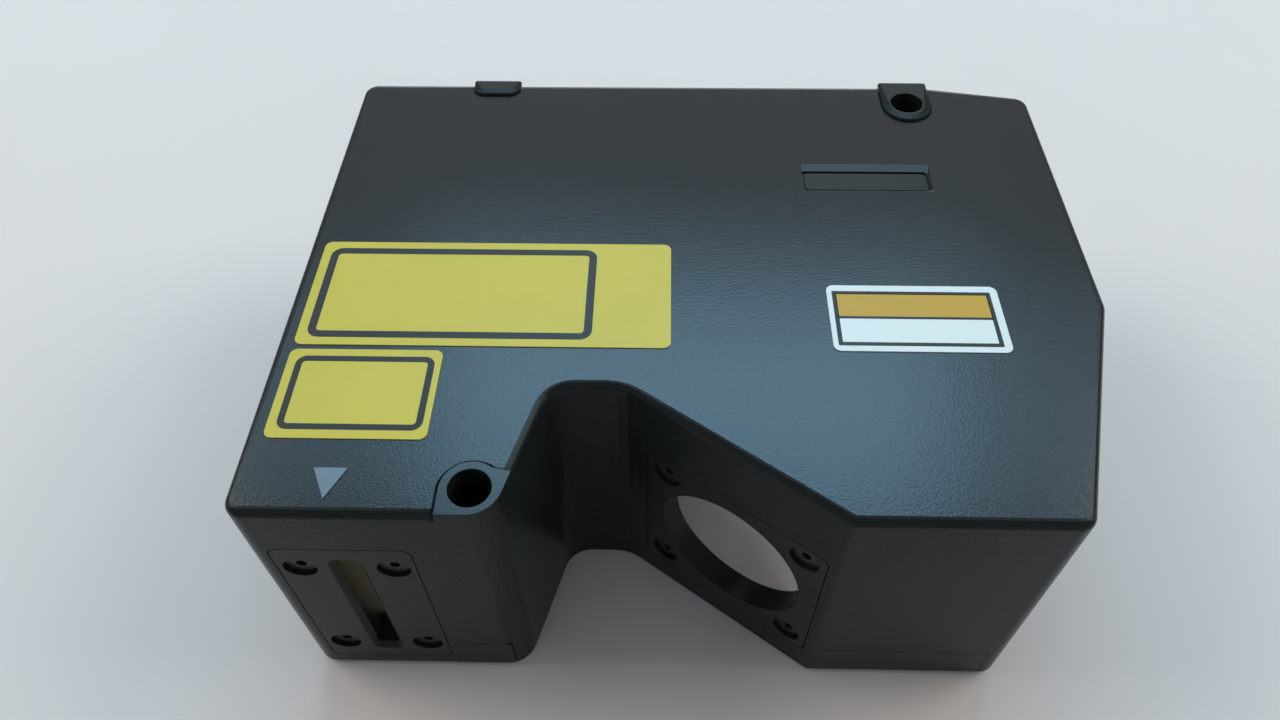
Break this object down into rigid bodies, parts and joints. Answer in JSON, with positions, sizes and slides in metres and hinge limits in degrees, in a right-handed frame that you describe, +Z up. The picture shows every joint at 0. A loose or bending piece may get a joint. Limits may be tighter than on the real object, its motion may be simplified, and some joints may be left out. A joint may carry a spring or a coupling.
{
  "type": "laser profile sensor",
  "caption": "Flat laser profile sensor head with a notched front: a slotted laser window on the arm and a round receiver window on the slanted face, connector on the back",
  "frame": {"origin": "middle of the base face, on the plane that the sensor rests on", "axes": "+X along the width, from the laser arm to the slanted side; +Y from the front face, where the windows are, to the back face with the connector; +Z up from the bottom cover to the top cover"},
  "size_m": [0.0958, 0.0772, 0.0389],
  "materials": {
    "housing": "matt dark grey powder coat on die-cast aluminium",
    "cover_paint": "satin blue-black paint with a fine grain",
    "base_paint": "matt dark grey powder coat",
    "bare_plate": "dark anodised, bare",
    "yellow_label": "stuck-on film, satin",
    "white_label": "stuck-on film, satin",
    "pointer_print": "printed light grey",
    "window_plate": "black anodised, fine blasted",
    "window_glass": "coated optical glass",
    "lens_glass": "polished",
    "seal_rubber": "matt",
    "screw_steel": "zinc plated",
    "dark_screw": "blackened",
    "bench_aluminium": "machined",
    "strap_steel": "spring sheet",
    "barrel_brass": "turned",
    "barrel_black": "black anodised, matt",
    "board_green": "circuit board with solder mask",
    "chip_black": "moulded, matt",
    "flex_amber": "polyimide film, satin",
    "gold_contact": "gold plated",
    "connector_metal": "nickel plated"
  },
  "bodies": {
    "root": {"housing": "housing", "top_cover": "cover_paint", "top_seal": "seal_rubber", "bottom_cover": "base_paint", "bottom_seal": "seal_rubber", "bottom_screws": "screw_steel", "name_plate": "bare_plate", "label_wide": "yellow_label", "label_small": "yellow_label", "label_white": "white_label", "pointer_mark": "pointer_print", "emission_plate": "window_plate", "emission_window": "window_glass", "emission_seal": "seal_rubber", "emission_screws": "dark_screw", "receiver_plate": "window_plate", "receiver_window": "window_glass", "receiver_seal": "seal_rubber", "receiver_screws": "dark_screw", "optics_plate": "bench_aluminium", "bench_screws": "screw_steel", "laser_holder": "bench_aluminium", "laser_clamp_screw": "dark_screw", "laser_barrel": "barrel_brass", "laser_diode": "gold_contact", "collimator_lens": "lens_glass", "line_lens": "lens_glass", "laser_board": "board_green", "receiver_cradle": "bench_aluminium", "receiver_strap": "strap_steel", "strap_screws": "dark_screw", "receiver_barrel": "barrel_black", "bandpass_filter": "lens_glass", "front_lens": "lens_glass", "lens_spacer": "barrel_black", "rear_lens": "lens_glass", "lens_ring": "barrel_black", "sensor_bracket": "bench_aluminium", "image_sensor": "chip_black", "sensor_board": "board_green", "sensor_screws": "dark_screw", "main_board": "board_green", "board_parts": "chip_black", "board_standoffs": "barrel_brass", "board_screws": "screw_steel", "sensor_flex": "flex_amber", "laser_flex": "flex_amber", "connector_shell": "connector_metal", "connector_nut": "connector_metal", "connector_insert": "chip_black", "connector_pins": "gold_contact", "connector_flex": "flex_amber"}
  },
  "joints": []
}
